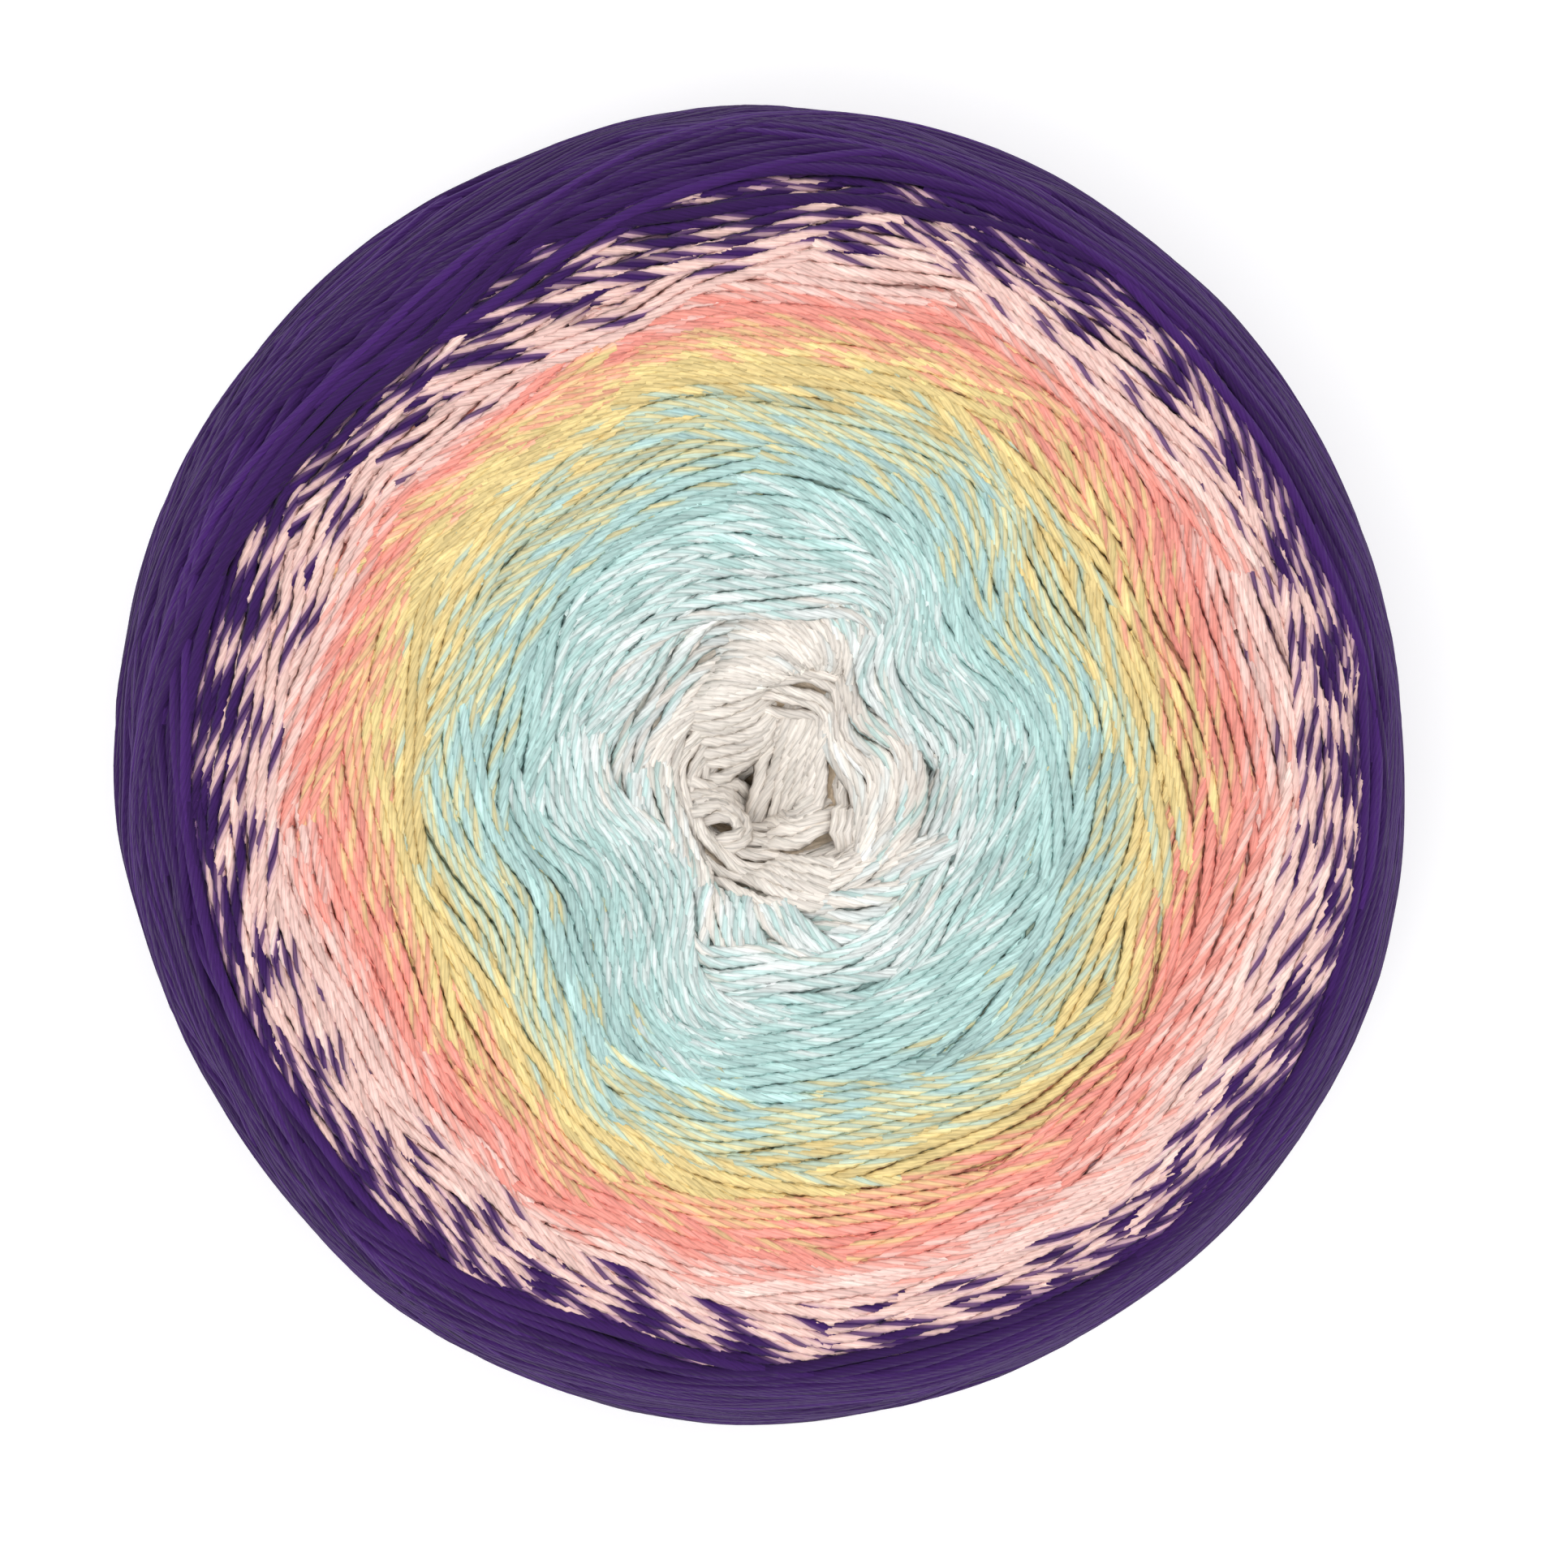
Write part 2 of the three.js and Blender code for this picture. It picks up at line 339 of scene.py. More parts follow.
def ring_shift(bearing, out):
    """How far the turns lie further out at a bearing, because the cake was wound a little unevenly."""
    dip = DIP_SHIFT * np.exp(-((angle_from(DIP_BEARING, bearing) / DIP_WIDE) ** 2))
    outer = OUTER_SHIFT * np.cos(bearing - math.radians(OUTER_BEARING)) - dip
    edge = EDGE_SHIFT + EDGE_SHIFT_BACK * np.exp(-(angle_from(BACK_BEARING, bearing) ** 2))
    inner = INNER_SHIFT * np.cos(2 * (bearing - math.radians(INNER_BEARING)))
    shift = in_band(inner, out, INNER_BAND) + in_band(outer, out, OUTER_BAND)
    return shift + in_band(edge, out, EDGE_BAND)


def colours_out(bearing, out):
    """How much further out the colours lie at a bearing, where more of the earlier turns lie below."""
    total = 0
    for middle, spread, place, wide, shift in COLOUR_SHIFTS:
        gap = angle_from(middle, bearing)
        total += shift * math.exp(-((gap / math.radians(spread)) ** 2) - ((out - place) / wide) ** 2)
    return total


def map_place(bearing, out):
    """Where a bearing and a distance from the middle of the face lie on the upper map."""
    out = out + ring_shift(bearing, out)
    face = 1 - ease(out, *FACE_SHIFT_FADES)
    sunk = 1 - ease(out, 0, SUNK_REACH)
    x = out * np.cos(bearing) + FACE_SHIFT[0] * face + SUNK_SHIFT[0] * sunk
    y = out * np.sin(bearing) + FACE_SHIFT[1] * face + SUNK_SHIFT[1] * sunk
    return x, y


def turn_place(bearing, out, upper):
    """The places of a turn on the map of its side."""
    if upper:
        return map_place(bearing, out + pulled(bearing, out))
    return out * np.cos(bearing), out * np.sin(bearing)


# %% List the turns of both faces
YARN_APART = 1.17
CIRCLE_APART = 1.25
CIRCLE_POINTS = 400
CIRCLE_BENDS = ((0.3, 9), (0.3, 4))
CIRCLE_ORDER = -1
FACE_CIRCLES = (1.5, 74)
WALL_CIRCLES = (74, 150)
UNDER_CIRCLES = (1, 60)
RING_FIRST = 14
RING_FIRST_ABOVE = 26
RING_LAST_BELOW = 66
RING_STEP = 4.1
RING_TURNED = 0.37
RINGS = 17
ARCH_APART = 34
ARCH_LEAN = 0.2
ARCH_CREST = 12
ARCH_REACH = 31
ARCH_REACH_SHARE = 1.3
ARCH_POINTS = 90
NEAREST_CREST = 8
NEAREST_END = 3
FINE_BEND = 0.07
FINE_BEND_LENGTH = 2.9
BEND_LENGTHS = (3.5, 6.5)
BEND_TAUT = 0.2
BEND_LOOSER = 0.8
LOOSE_WITHIN = (18, 44)
BUNDLE_HALF_WIDE = 4.0
BUNDLES_DIFFER = (0.8, 1.2)
TURNS_DIFFER = (0.96, 1.04)
CREST_SPREAD = 0.2
CREST_STEP = 1.1
OUT_STEP = 0.1
TWIST_STEP = 0.13
ANY_START = (0, 6.3)


def with_bends(out, bearing, bends):
    """Adds small bends to a closed turn. Each has its height and how often it comes round."""
    for height, count in bends:
        out = out + height * np.sin(count * bearing + rng.uniform(*ANY_START))
    out[-1] = out[0]
    return out


def circle(out, upper):
    """A plain closed turn with small bends."""
    bearing = np.linspace(0, FULL_TURN, CIRCLE_POINTS)
    x, y = turn_place(bearing, with_bends(out, bearing, CIRCLE_BENDS), upper)
    stage = stage_at(out, upper)
    dyes = threads_of(stage)
    return {"x": x, "y": y, "stage": stage, "dyes": dyes, "order": CIRCLE_ORDER, "closed": True}


def circles(first, last, upper):
    """Plain closed turns side by side."""
    return [circle(out, upper) for out in np.arange(first, last, CIRCLE_APART)]


def arch_turn(crest, out, lean, wave, upper):
    """One arch: its line and its dyes. wave is the height, length and start of its bends."""
    half = min(ARCH_REACH, ARCH_REACH_SHARE * out)
    aside = np.linspace(-half, half, ARCH_POINTS)
    height, length, start = wave
    fallen = lean * (np.hypot(aside, ARCH_CREST) - ARCH_CREST)
    fine = FINE_BEND * np.sin(aside / FINE_BEND_LENGTH + rng.uniform(*ANY_START))
    bends = height * np.sin(aside / length + start) + fine
    reach = np.maximum(out + fallen + bends, NEAREST_END)
    x, y = turn_place(crest + aside / out, reach, upper)
    stage = stage_at(out - (colours_out(crest, out) if upper else 0), upper)
    return {"x": x, "y": y, "stage": stage, "dyes": threads_of(stage)}


def bundle(ring, arch, count, along, upper):
    """The arches of one bundle, side by side. The ring has count bundles and lies along mm out."""
    place = arch + ring * RING_TURNED + 0.5 * uneven(ring, arch)
    crest = FULL_TURN * (place + rng.uniform(-CREST_SPREAD, CREST_SPREAD)) / count
    middle = along + 2 * uneven(arch, ring)
    order = along + 6 * uneven(arch + 3, ring + 5)
    lean = ARCH_LEAN * rng.uniform(*BUNDLES_DIFFER)
    loose = BEND_TAUT + BEND_LOOSER * float(1 - ease(along, *LOOSE_WITHIN))
    wave = (loose, rng.uniform(*BEND_LENGTHS), rng.uniform(*ANY_START))
    half = BUNDLE_HALF_WIDE * rng.uniform(*BUNDLES_DIFFER)
    phase = rng.uniform(0, 1)
    turns = []
    for offset in np.arange(-half, half, YARN_APART):
        out = max(middle + offset + rng.normal(0, OUT_STEP), NEAREST_CREST)
        own_crest = crest + rng.normal(0, CREST_STEP) / along
        turn = arch_turn(own_crest, out, lean * rng.uniform(*TURNS_DIFFER), wave, upper)
        turn["order"] = order + 0.01 * offset
        turn["phase"] = phase + rng.normal(0, TWIST_STEP)
        turns.append(turn)
    return turns


def arches(upper):
    """All arches of a face, ring by ring."""
    turns = []
    for ring in range(RINGS):
        along = RING_FIRST + ring * RING_STEP
        if along < RING_FIRST_ABOVE if upper else along > RING_LAST_BELOW:
            continue
        count = round(FULL_TURN * along / ARCH_APART)
        for arch in range(count):
            turns += bundle(ring, arch, count, along, upper)
    return turns


upper_turns = circles(*FACE_CIRCLES, True) + arches(True)
under_turns = circles(*UNDER_CIRCLES, False) + arches(False)
under_turns.sort(key=lambda turn: turn["order"])
print("Turns on the upper face:", len(upper_turns), "and on the lower:", len(under_turns))

# %% [markdown]
# ## The loose turns of the middle
# When the spindle came out, the innermost turns lost their hold. They fell in and closed the bore as
# a rosette of cream strands, and further out some were pulled into a fold at the lower left and into
# waves at the right. No rule gives such a tangle, so each group has two guide lines in millimetres,
# with its strands spread between them. With them stand how many strands there are, how thick a
# loosened strand is, its place in the order of laying, and the colour stages of the first and the
# last strand.

# %% List the loose groups
LOOSE_GROUPS = {
    "strands in the right recess": (
        [(8.0, -2.8), (8.5, -6.5), (7.6, -10.0)],
        [(10.6, -3.2), (11.0, -6.5), (10.2, -10.2)],
        4, 1.2, 0, (0, 0),
    ),
    "left strands": (
        [(-9.5, -2.8), (-6.2, -2.5), (-3.2, -2.7), (0.6, -3.8)],
        [(-9.8, -5.8), (-6.4, -5.2), (-3.4, -4.8), (0.2, -5.2)],
        4, 1.45, 1, (0, 0),
    ),
    "strands down the hollow": (
        [(3.2, 7.6), (2.4, 3.2), (0.8, -0.6), (-0.4, -4.2), (-0.6, -7.6)],
        [(6.8, 7.4), (7.2, 2.6), (7.2, -1.8), (5.4, -6.4), (3.4, -10.0)],
        8, 1.55, 2, (0, 0),
    ),
    "left fan": (
        [(-8.2, -2.4), (-4.6, -1.8), (-1.6, -0.9), (0.5, 1.6), (1.8, 4.4), (3.0, 6.8)],
        [(-9.8, 3.4), (-5.4, 5.0), (-1.0, 6.6), (1.8, 7.2), (3.6, 6.8)],
        7, 1.5, 3, (0, 0),
    ),
    "upper fan": (
        [(-10.2, 4.4), (-5.6, 6.6), (-1.0, 8.0), (2.2, 7.8), (4.2, 6.6)],
        [(-6.4, 15.6), (0.0, 17.2), (5.8, 16.6), (9.2, 13.6), (9.3, 10.2), (6.4, 6.8)],
        13, 1.5, 5, (0, 0.2),
    ),
    "bundle across the hollow": (
        [(0.2, -4.6), (2.6, -5.6), (5.2, -4.8), (7.0, -1.8)],
        [(-1.4, -8.3), (2.0, -9.0), (5.8, -8.2), (8.2, -4.6)],
        4, 1.7, 7, (0, 0),
    ),
    "small loop": (
        [(-7.4, -6.0), (-4.6, -5.0), (-1.6, -5.8), (-1.3, -8.2), (-3.4, -9.6), (-6.0, -8.8)],
        [(-6.8, -6.8), (-4.4, -5.8), (-2.4, -6.4), (-2.1, -7.9), (-3.6, -8.9), (-5.6, -8.1)],
        2, 1.4, 8, (0, 0),
    ),
    "lower strands": (
        [(-1.0, -9.2), (3.0, -10.6), (7.0, -11.4), (11.0, -10.8)],
        [(-4.4, -9.8), (-2.4, -13.4), (1.6, -15.8), (6.0, -16.4), (11.0, -15.0)],
        6, 1.5, 5, (0, 0),
    ),
    "right strands": (
        [(4.0, 8.6), (8.0, 0.6), (10.9, -3.4), (11.6, -7.0), (11.0, -11.0), (8.6, -15.6)],
        [(7.4, 12.4), (12.2, 5.4), (17.0, 2.2), (18.8, -3.0), (17.2, -8.6), (12.4, -17.0)],
        9, 1.45, 6.2, (0.2, 2.0),
    ),
    "strands down the left": (
        [(-10.4, 6.0), (-10.2, -1.0), (-9.2, -7.0), (-5.6, -14.0), (-3.4, -19.0)],
        [(-15.4, 4.0), (-15.0, -2.0), (-13.0, -8.0), (-9.4, -15.0), (-6.6, -21.0)],
        6, 1.35, 9, (1.0, 3.0),
    ),
    "arcs over the upper fan": (
        [
            (-10.4, 7.0), (-8.6, 12.4), (-4.6, 17.2), (2.0, 18.6),
            (8.0, 17.0), (11.0, 12.6), (10.4, 7.6), (9.6, 4.4),
        ],
        [
            (-20.6, -3.0), (-18.4, 5.0), (-14.0, 13.4), (-7.4, 21.6),
            (2.0, 25.6), (11.0, 23.4), (15.4, 16.0), (15.6, 8.0),
        ],
        9, 1.4, 10, (0.8, 4.4),
    ),
    "strands at the left": (
        [(-20.0, -4.4), (-18.0, 3.0), (-14.4, 10.0), (-9.4, 17.4), (-2.0, 22.4)],
        [(-29.4, -4.0), (-27.0, 5.0), (-21.6, 14.4), (-13.4, 23.6), (-4.0, 29.0)],
        8, 1.3, 22, (3.6, 6.5),
    ),
    "short strands by the fold": (
        [(-7.0, -9.0), (-6.8, -16.4), (-4.8, -24.0), (-0.4, -30.5)],
        [(-1.6, -10.6), (-0.8, -17.4), (2.8, -24.0), (9.0, -29.5)],
        6, 1.35, 11, (2.0, 4.0),
    ),
    "white strands below": (
        [(-3.4, -12.2), (0.0, -17.4), (4.0, -22.0), (11.0, -27.5)],
        [(0.4, -12.6), (3.6, -16.8), (8.0, -20.6), (15.6, -25.4)],
        4, 1.35, 12, (1.4, 3.0),
    ),
    "white arcs, lower right": (
        [(4.0, -17.4), (7.4, -15.6), (12.6, -15.2), (17.4, -13.4), (22.6, -8.8)],
        [(2.0, -24.6), (8.0, -26.8), (15.4, -25.0), (22.4, -19.6), (27.4, -11.0)],
        10, 1.35, 13, (1.8, 4.4),
    ),
    "white strands, right": (
        [(11.4, -15.4), (14.8, -12.4), (19.0, -9.0), (22.4, -6.0)],
        [(15.4, -15.8), (18.8, -12.8), (22.4, -9.6), (24.4, -6.6)],
        4, 1.35, 27, (1.6, 2.4),
    ),
    "waves by the rosette": (
        [(11.8, 21.0), (12.6, 15.0), (12.4, 9.4), (14.6, 5.6), (18.4, 1.0), (20.4, -4.6)],
        [(18.4, 27.4), (19.4, 20.4), (20.6, 13.4), (24.6, 9.0), (29.4, 4.0), (31.0, -5.0)],
        9, 1.3, 28, (2.4, 5.2),
    ),
    "waves further out": (
        [(19.2, 27.0), (20.4, 20.0), (21.8, 13.4), (25.8, 9.2), (30.4, 4.0), (32.0, -6.0)],
        [(26.0, 27.6), (27.0, 21.0), (30.0, 14.8), (35.0, 10.6), (38.0, 5.0), (38.6, -6.0)],
        6, 1.25, 34, (5.6, 10),
    ),
    "fold at the lower left": (
        [
            (-16.4, -4.2), (-12.4, -8.4), (-9.4, -12.2), (-8.6, -17.0),
            (-7.8, -22.4), (-4.8, -27.4), (1.6, -28.8), (9.0, -27.6),
        ],
        [
            (-35.0, -8.0), (-28.4, -12.6), (-22.0, -17.4), (-18.6, -23.0),
            (-16.0, -29.4), (-11.4, -34.4), (-4.0, -36.8), (6.0, -36.6),
        ],
        12, 1.25, 35, (3.2, 8.8),
    ),
}
LOOSE_POINTS = 60
LOOSE_BENDS = 6
LOOSE_BEND = 0.22
LOOSE_ORDER_SPREAD = 0.9
LOOSE_DIVE = 3.2
LOOSE_END_PART = 3


def place_on_map(point):
    """Where a point seen from straight above lies on the upper map."""
    plan = upper_map["points"][..., :2]
    cell = np.unravel_index(np.argmin(np.linalg.norm(plan - point, axis=2)), plan.shape[:2])
    return np.array(cell) - MAP_REACH + (np.array(point) - plan[cell])


def curve_through(points, count):
    """A smooth curve through the points."""
    points = np.asarray(points, dtype=float)
    padded = np.concatenate((2 * points[:1] - points[1:2], points, 2 * points[-1:] - points[-2:-1]))
    at = np.linspace(0, len(points) - 1, count)
    low = np.minimum(at.astype(int), len(points) - 2)
    t = (at - low)[:, None]
    before, start, end, after = (padded[low + k] for k in range(4))
    bend = (2 * before - 5 * start + 4 * end - after) * t**2 + (3 * start - before - 3 * end + after) * t**3
    return 0.5 * (2 * start + (end - before) * t + bend)


def loose_group(inner, outer, count, thick, order, stages):
    """The strands of one loose group, spread between its two guide lines."""
    inner = curve_through([place_on_map(point) for point in inner], LOOSE_POINTS)
    outer = curve_through([place_on_map(point) for point in outer], LOOSE_POINTS)
    turns = []
    for share in np.linspace(0, 1, count):
        bends = curve_through(rng.normal(0, LOOSE_BEND, (LOOSE_BENDS, 2)), LOOSE_POINTS)
        line = inner * (1 - share) + outer * share + bends
        stage = stages[0] * (1 - share) + stages[1] * share
        turn = {"x": line[:, 0], "y": line[:, 1], "stage": stage, "dyes": threads_of(stage)}
        turn.update(order=order + LOOSE_ORDER_SPREAD * share, phase=rng.uniform(0, 1))
        turn.update(thick=thick, dive=LOOSE_DIVE, end_part=LOOSE_END_PART)
        turns.append(turn)
    return turns


for group in LOOSE_GROUPS.values():
    upper_turns += loose_group(*group)
upper_turns.sort(key=lambda turn: turn["order"])
print("Loose groups:", len(LOOSE_GROUPS), "with them the upper face has", len(upper_turns), "turns")

# %% [markdown]
# ## The loops round the wall
# Each outer turn goes once round the cake at a slant, over the upper shoulder on one side and over
# the lower one on the other. The winder's arm moves on a little after each bundle, so the bundles
# cross each other as long narrow diamonds. All of the outer yarn is purple.

# %% List the loops round the wall
LOOPS = 13
LOOP_MIDDLE = 110
LOOP_MIDDLE_STEP = 0.3
LOOP_CLIMB = 30
LOOP_CLIMB_STEP = 1.2
LOOP_CREST_STEP = 0.04
LOOP_HALF_WIDE = 7.2
LOOP_ORDER_STEP = 5
LOOP_POINTS = 500
LOOP_BENDS = ((0.5, 3), (0.35, 11))


def wall_loop(crest, middle, climb):
    """One whole turn: it crosses the upper shoulder at its crest and the lower one opposite."""
    bearing = np.linspace(0, FULL_TURN, LOOP_POINTS) + crest + math.pi
    out = with_bends(middle - climb * np.cos(bearing - crest), bearing, LOOP_BENDS)
    x, y = map_place(bearing, out)
    return {"x": x, "y": y, "stage": LAST_STAGE, "dyes": [PURPLE] * THREADS, "closed": True}


def wall_loops():
    """All loops, bundle by bundle in the order in which they cross over each other."""
    loops = circles(*WALL_CIRCLES, True)
    for loop in sorted(range(LOOPS), key=lambda loop: (loop * LOOP_ORDER_STEP) % LOOPS):
        crest = FULL_TURN * (loop + 0.4 * uneven(loop, 3)) / LOOPS
        for offset in np.arange(-LOOP_HALF_WIDE, LOOP_HALF_WIDE, YARN_APART):
            own_crest = crest + rng.normal(0, LOOP_CREST_STEP)
            middle = LOOP_MIDDLE + offset + rng.normal(0, LOOP_MIDDLE_STEP)
            loops.append(wall_loop(own_crest, middle, LOOP_CLIMB + rng.normal(0, LOOP_CLIMB_STEP)))
    return loops


loops_round_wall = wall_loops()
print("Loops round the wall:", len(loops_round_wall))

# %% [markdown]
# ## Laying turn on turn
# A turn lies on what was wound before it. A height map of the pile keeps how high the yarn stands
# over the form at each place. Each turn reads the height under it, is smoothed as a taut yarn is,
# rests on it, and adds its own back to the map. Soft yarn squashes where it crosses, so a turn of a
# face sinks into the ones below, and one of the wall, which is wound tighter, hardly does.

# %% Make the pile and lay one turn on it
PILE_CELL = 0.4
PILE_SIDE = int(2 * MAP_REACH / PILE_CELL)
PILE_SOFT_TOP = 7
LAY_STEP = 0.3
FEWEST_STEPS = 8
STRETCH_LIMITS = (0.5, 4)
READ_SIDES = (-0.9, -0.3, 0.3, 0.9)
ADD_SIDES = np.linspace(-0.99, 0.99, 9)
ARCH_DIVE = 2.4
ARCH_END_PART = 4
DIVE_REACH = 9


def cell_of(x, y):
    """The cell of the pile at places of the map."""
    row = np.clip(((x + MAP_REACH) / PILE_CELL).astype(int), 0, PILE_SIDE - 1)
    column = np.clip(((y + MAP_REACH) / PILE_CELL).astype(int), 0, PILE_SIDE - 1)
    return row, column


def even_steps(form, turn, step):
    """The turn's line with an even step of real length, and how far along it each point lies."""
    points, _ = on_form(form, turn["x"], turn["y"])
    travel = np.concatenate(([0], np.cumsum(np.linalg.norm(np.diff(points, axis=0), axis=1))))
    count = max(FEWEST_STEPS, round(travel[-1] / step))
    wanted = np.linspace(0, travel[-1], count + 1)
    return np.interp(wanted, travel, turn["x"]), np.interp(wanted, travel, turn["y"]), wanted


def across_on_map(form, x, y):
    """The step on the map that is one real millimetre to the left of a line."""
    points, _ = on_form(form, x, y)
    out = np.maximum(np.hypot(x, y), 1)
    real_out = np.maximum(np.hypot(points[:, 0], points[:, 1]), 1)
    stretch = np.clip(out / real_out, *STRETCH_LIMITS)
    radial = np.stack((x / out, y / out), axis=1)
    round_way = np.stack((-y / out, x / out), axis=1)
    step = np.stack((np.gradient(x), np.gradient(y)), axis=1)
    outwards = (step * radial).sum(axis=1)
    sideways = (step * round_way).sum(axis=1) / stretch
    length = np.maximum(np.hypot(outwards, sideways), 1e-9)
    return radial * (-sideways / length)[:, None] + round_way * (outwards / length * stretch)[:, None]


def beside(x, y, across, side, half):
    """The cells of the pile along a turn. side goes from -1 to 1 across its width."""
    offset = side * half * YARN_WIDER
    return cell_of(x + offset * across[:, 0], y + offset * across[:, 1])


def smoothed(values, width, closed):
    """Values along a turn, smoothed over width steps."""
    span = int(2.5 * width)
    padded = np.pad(values, span, mode="wrap" if closed else "edge")
    return np.convolve(padded, bell_curve(width, span), mode="valid")


def lay(form, pile, turn, taut, over):
    """Rests the turn on the pile and adds it. It spans taut mm smoothly, and over is how little it sinks."""
    x, y, travel = even_steps(form, turn, LAY_STEP)
    across = across_on_map(form, x, y)
    closed = turn.get("closed", False)
    below = [pile[cell_of(x + side * across[:, 0], y + side * across[:, 1])] for side in READ_SIDES]
    rest = np.mean(below, axis=0) * (1 - over) + np.max(below, axis=0) * over
    height = smoothed(rest, taut / LAY_STEP, closed)
    height = PILE_SOFT_TOP * np.tanh(height / PILE_SOFT_TOP)
    if not closed:
        to_end = np.minimum(travel, travel[-1] - travel)
        reach = min(DIVE_REACH, travel[-1] / turn.get("end_part", ARCH_END_PART))
        height = height - turn.get("dive", ARCH_DIVE) * (1 - ease(to_end, 0, reach))
    half = turn.get("thick", YARN_THICK) / 2
    for side in ADD_SIDES:
        np.maximum.at(pile, beside(x, y, across, side, half), height + half * math.sqrt(1 - side**2))
    turn.update(travel=travel, height=height, line=(x, y))


# %% Lay the faces and the wall
FACE_TAUT = 1.6
WALL_TAUT = 3.5
UNDER_TAUT = 2.5
SOFT_OVER = 0.1
TIGHT_OVER = 0.8

upper_pile, under_pile = np.zeros((2, PILE_SIDE, PILE_SIDE), dtype=np.float32)
for turn in upper_turns:
    lay(upper_map, upper_pile, turn, FACE_TAUT, SOFT_OVER)
for turn in loops_round_wall:
    lay(upper_map, upper_pile, turn, WALL_TAUT, TIGHT_OVER)
for turn in under_turns:
    lay(under_map, under_pile, turn, UNDER_TAUT, SOFT_OVER)

print("Highest yarn over the form:", np.round((upper_pile.max(), under_pile.max()), 1), "mm")

# %% [markdown]
# ## From the pile to the form
# The solid already has the height of the wound cake. So the mean level of the pile is taken off at
# each place, and the relief that is left is pressed a little, as the turns of a wound cake are. The
# loose middle isn't pressed. In a few hollows, where loose turns parted, those below lie deeper.

# %% Find the level of each pile
LEVEL_CELL = 2
LEVEL_BLUR = 3
TOP_OVER_MEAN = 0.45
PRESSED = 0.7
PRESSED_MIDDLE = 1.05
MIDDLE_WITHIN = (12, 28)
# Each hollow has its place on the map, its width and its depth.
HOLLOWS = [
    (-0.2, -4.0, 2.4, 4),
    (-4.0, -7.2, 2.2, 2),
    (8.6, -8.4, 2.6, 2.5),
    (-12.5, -9.5, 2.6, 2.5),
    (-9.4, -12.4, 2.4, 3),
    (-14.4, -14.4, 2.2, 2.5),
    (11.4, 9.0, 2.2, 3),
    (-3.2, -16.4, 2.0, 2.5),
    (29.0, 3.0, 2.5, 2),
    (21.0, -0.6, 1.8, 2),
]


def level_of(pile):
    """The height in the pile that lies on the form: its blurred mean, and a little above it."""
    cells = round(LEVEL_CELL / PILE_CELL)
    means = pile.reshape(PILE_SIDE // cells, cells, PILE_SIDE // cells, cells).mean(axis=(1, 3))
    return blurred(means[..., None], LEVEL_BLUR) + TOP_OVER_MEAN


def level_at(form, x, y):
    """The level of the pile of a form at places of its map."""
    row = np.clip((x + MAP_REACH) / LEVEL_CELL - 0.5, 0, None)
    column = np.clip((y + MAP_REACH) / LEVEL_CELL - 0.5, 0, None)
    return blend_cells(form["level"], row, column, False)[..., 0]


def pressed_at(form, x, y):
    """How much of the pile's own relief is left. The loose middle isn't pressed."""
    middle = 1 - ease(np.hypot(x, y), *MIDDLE_WITHIN)
    return PRESSED + (PRESSED_MIDDLE - PRESSED) * middle * form["upper"]


def hollow(x, y):
    """How much deeper the yarn lies at the few places where the loose turns parted."""
    depths = (
        depth * np.exp(-((x - at_x) ** 2 + (y - at_y) ** 2) / wide**2)
        for at_x, at_y, wide, depth in HOLLOWS
    )
    return sum(depths)


upper_map["level"] = level_of(upper_pile)
under_map["level"] = level_of(under_pile)
print("Highest levels taken off:", [round(float(form["level"].max()), 1) for form in (upper_map, under_map)])

# %% [markdown]
# ## From lines to yarn
# Each turn becomes a tube whose section has a lobe for each ply, and the section turns with the
# twist, so the plies wind round each other as they do in the real yarn. Each lobe carries the
# colours of its two threads, a little blended where threads touch. The loops of the wall are all of
# one colour, so there a plain tube does, and its material draws the plies. Stretches that lie wholly
# under later turns are left out, which keeps the mesh small.

# %% Find what shows of a turn
NEARLY_SEEN = 0.45
LOOK_SIDES = (-0.8, -0.4, 0, 0.4, 0.8)
SEEN_MORE = 2


def shows(pile, x, y, height, across, half):
    """True where some part of the yarn's upper side is level with the top of the pile."""
    seen = np.zeros(len(x), dtype=bool)
    for side in LOOK_SIDES:
        top = height + half * math.sqrt(1 - side**2)
        seen |= pile[beside(x, y, across, side, half)] < top + NEARLY_SEEN
    return seen


def widened(seen, steps):
    """The same, with the ends of each stretch that shows moved on by a few steps."""
    wide = seen.copy()
    for step in range(1, steps + 1):
        wide[step:] |= seen[:-step]
        wide[:-step] |= seen[step:]
    return wide


# %% Build the rings of a turn
LOBED_SIDES = 2 * PLIES
PLAIN_SIDES = 6
FEWEST_RINGS = 6
LOWEST_CENTRE = YARN_THICK / 2 + 0.05
LOBE_IN = 0.82
BLEED = 0.3
THREAD_TINT = 0.05


def srgb_shares(hex_colour):
    """The red, green and blue of an sRGB hex colour, each from 0 to 1."""
    return [int(hex_colour[k : k + 2], 16) / 255 for k in (0, 2, 4)]


PALETTE = np.array([srgb_shares(dye) + [1] for dye in DYES.values()])


